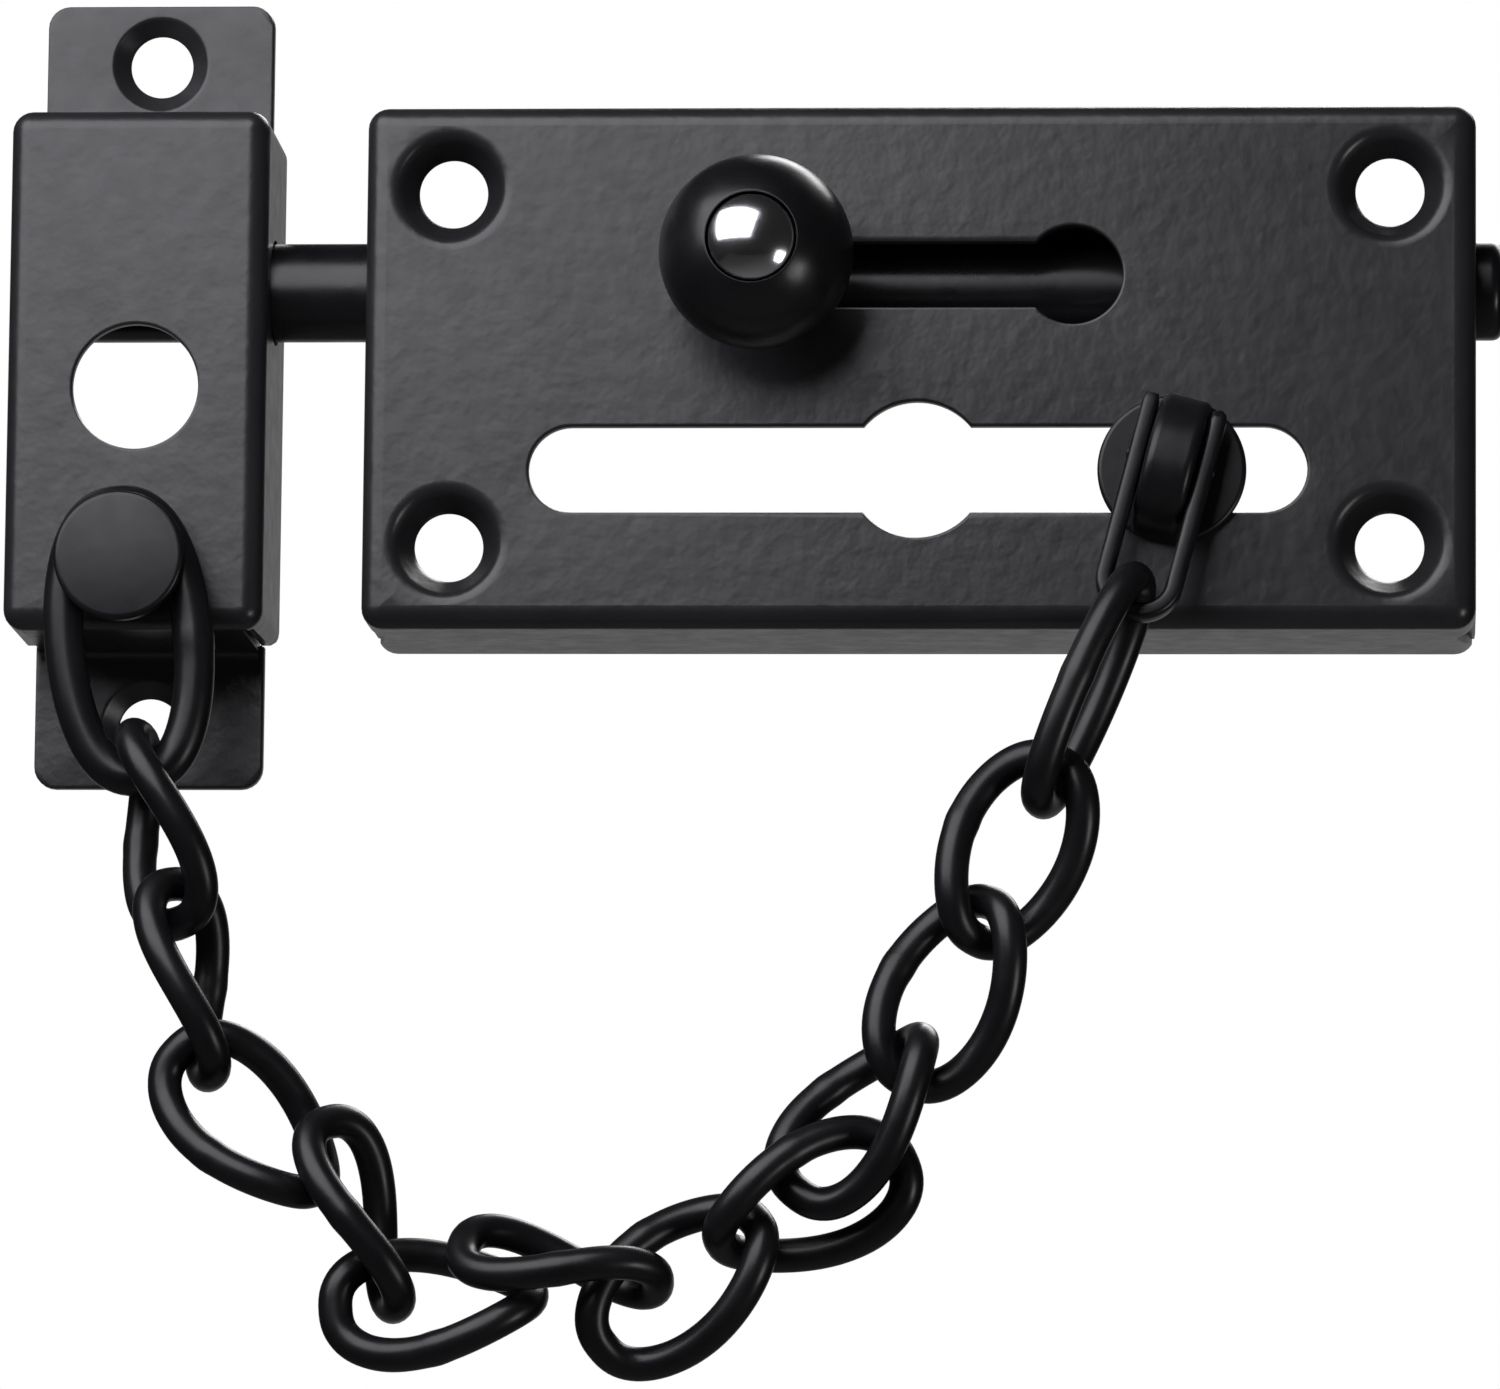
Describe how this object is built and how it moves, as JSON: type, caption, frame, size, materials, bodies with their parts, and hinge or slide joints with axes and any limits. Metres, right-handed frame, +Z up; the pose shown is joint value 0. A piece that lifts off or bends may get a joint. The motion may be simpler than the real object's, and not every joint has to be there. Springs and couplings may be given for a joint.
{
  "type": "barrel bolt",
  "caption": "Surface-mounted sliding door bolt in a folded case, with a push-button ball knob, a strike box and a twisted-link door chain from a slot slider to a stud.",
  "frame": {"origin": "middle of the case's open back, in the plane of the door", "axes": "+X along the bolt, away from the strike box; +Y into the door, so the knob points to -Y; +Z up, with the chain hanging to -Z"},
  "size_m": [0.1416, 0.039, 0.1345],
  "materials": {
    "powder_black": "satin powder coat with a fine orange peel",
    "chain_black": "satin black",
    "knob_black": "satin black",
    "chrome": "polished",
    "zinc_steel": "zinc plated"
  },
  "bodies": {
    "housing": {"case_cover": "powder_black", "rod_guide": "powder_black", "strike_box": "powder_black", "chain_stud": "powder_black", "stud_washer": "zinc_steel"},
    "bolt": {"bolt_rod": "knob_black", "knob_stem": "zinc_steel", "knob_ball": "knob_black", "button_spring": "zinc_steel"},
    "button": {"push_button": "chrome", "button_pin": "zinc_steel", "cross_pin": "zinc_steel", "lock_collar": "zinc_steel"},
    "slider": {"slider_button": "powder_black"},
    "strap": {"slider_head": "powder_black", "slider_bail": "chain_black", "bail_pin": "zinc_steel"},
    "long_link": {"long_link": "chain_black"},
    "link_11": {"link_11": "chain_black"},
    "link_10": {"link_10": "chain_black"},
    "link_09": {"link_09": "chain_black"},
    "link_08": {"link_08": "chain_black"},
    "link_07": {"link_07": "chain_black"},
    "link_06": {"link_06": "chain_black"},
    "link_05": {"link_05": "chain_black"},
    "link_04": {"link_04": "chain_black"},
    "link_03": {"link_03": "chain_black"},
    "link_02": {"link_02": "chain_black"},
    "link_01": {"link_01": "chain_black"},
    "end_link": {"end_link": "chain_black"}
  },
  "joints": [
    {"name": "bolt_slide", "type": "slide", "parent": "housing", "child": "bolt", "axis": [1, 0, 0], "range_m": [0, 0.0292]},
    {"name": "button_press", "type": "slide", "parent": "bolt", "child": "button", "axis": [0, 1, 0], "range_m": [0, 0.0024], "stiffness_N_per_m": 500, "deforming": ["button_spring"]},
    {"name": "slider_slide", "type": "slide", "parent": "housing", "child": "slider", "axis": [1, 0, 0], "range_m": [-0.0566, 0.0086]},
    {"name": "strap_swing", "type": "hinge", "parent": "slider", "child": "strap", "pos_m": [0.024, -0.0225, -0.0102], "axis": [0, -1, 0], "range_deg": [-4.8, 31]},
    {"name": "long_link_swing", "type": "hinge", "parent": "strap", "child": "long_link", "pos_m": [0.02066, -0.0246, -0.02311], "axis": [0, -1, 0], "range_deg": [-0.5, 2.4]},
    {"name": "link_11_swing", "type": "hinge", "parent": "long_link", "child": "link_11", "pos_m": [0.01268, -0.0243, -0.04044], "axis": [0, -1, 0], "range_deg": [-9.6, 1.6]},
    {"name": "link_10_swing", "type": "hinge", "parent": "link_11", "child": "link_10", "pos_m": [0.00672, -0.024, -0.05358], "axis": [0, -1, 0], "range_deg": [-3.4, 0.6]},
    {"name": "link_09_swing", "type": "hinge", "parent": "link_10", "child": "link_09", "pos_m": [0.00046, -0.0237, -0.06657], "axis": [0, -1, 0], "range_deg": [-7.3, 1.2]},
    {"name": "link_08_swing", "type": "hinge", "parent": "link_09", "child": "link_08", "pos_m": [-0.00544, -0.0234, -0.07749], "axis": [0, -1, 0], "range_deg": [-7.3, 1.2]},
    {"name": "link_07_swing", "type": "hinge", "parent": "link_08", "child": "link_07", "pos_m": [-0.01578, -0.0231, -0.08247], "axis": [0, -1, 0], "range_deg": [-17, 2.7]},
    {"name": "link_06_swing", "type": "hinge", "parent": "link_07", "child": "link_06", "pos_m": [-0.02575, -0.0228, -0.09023], "axis": [0, -1, 0], "range_deg": [-1.8, 0.4]},
    {"name": "link_05_swing", "type": "hinge", "parent": "link_06", "child": "link_05", "pos_m": [-0.03814, -0.0225, -0.08629], "axis": [0, -1, 0], "range_deg": [-1.1, 0.3]},
    {"name": "link_04_swing", "type": "hinge", "parent": "link_05", "child": "link_04", "pos_m": [-0.05042, -0.0222, -0.08964], "axis": [0, -1, 0], "range_deg": [-1.4, 0.3]},
    {"name": "link_03_swing", "type": "hinge", "parent": "link_04", "child": "link_03", "pos_m": [-0.05475, -0.0219, -0.07546], "axis": [0, -1, 0], "range_deg": [-1.4, 0.3]},
    {"name": "link_02_swing", "type": "hinge", "parent": "link_03", "child": "link_02", "pos_m": [-0.06683, -0.0216, -0.06674], "axis": [0, -1, 0], "range_deg": [-5.7, 1]},
    {"name": "link_01_swing", "type": "hinge", "parent": "link_02", "child": "link_01", "pos_m": [-0.06889, -0.0213, -0.05176], "axis": [0, -1, 0], "range_deg": [-5, 0.9]},
    {"name": "end_link_swing", "type": "hinge", "parent": "link_01", "child": "end_link", "pos_m": [-0.07278, -0.021, -0.03773], "axis": [0, -1, 0], "range_deg": [-2.4, 0.5]}
  ],
  "couplings": [
    {"joint": "strap_swing", "follows": "slider_slide", "rad_per_m": -9.5},
    {"joint": "long_link_swing", "follows": "slider_slide", "rad_per_m": -0.7},
    {"joint": "link_11_swing", "follows": "slider_slide", "rad_per_m": 2.9},
    {"joint": "link_10_swing", "follows": "slider_slide", "rad_per_m": 1},
    {"joint": "link_09_swing", "follows": "slider_slide", "rad_per_m": 2.2},
    {"joint": "link_08_swing", "follows": "slider_slide", "rad_per_m": 2.2},
    {"joint": "link_07_swing", "follows": "slider_slide", "rad_per_m": 5.2},
    {"joint": "link_06_swing", "follows": "slider_slide", "rad_per_m": 0.5},
    {"joint": "link_05_swing", "follows": "slider_slide", "rad_per_m": 0.3},
    {"joint": "link_04_swing", "follows": "slider_slide", "rad_per_m": 0.4},
    {"joint": "link_03_swing", "follows": "slider_slide", "rad_per_m": 0.4},
    {"joint": "link_02_swing", "follows": "slider_slide", "rad_per_m": 1.7},
    {"joint": "link_01_swing", "follows": "slider_slide", "rad_per_m": 1.5},
    {"joint": "end_link_swing", "follows": "slider_slide", "rad_per_m": 0.7}
  ]
}
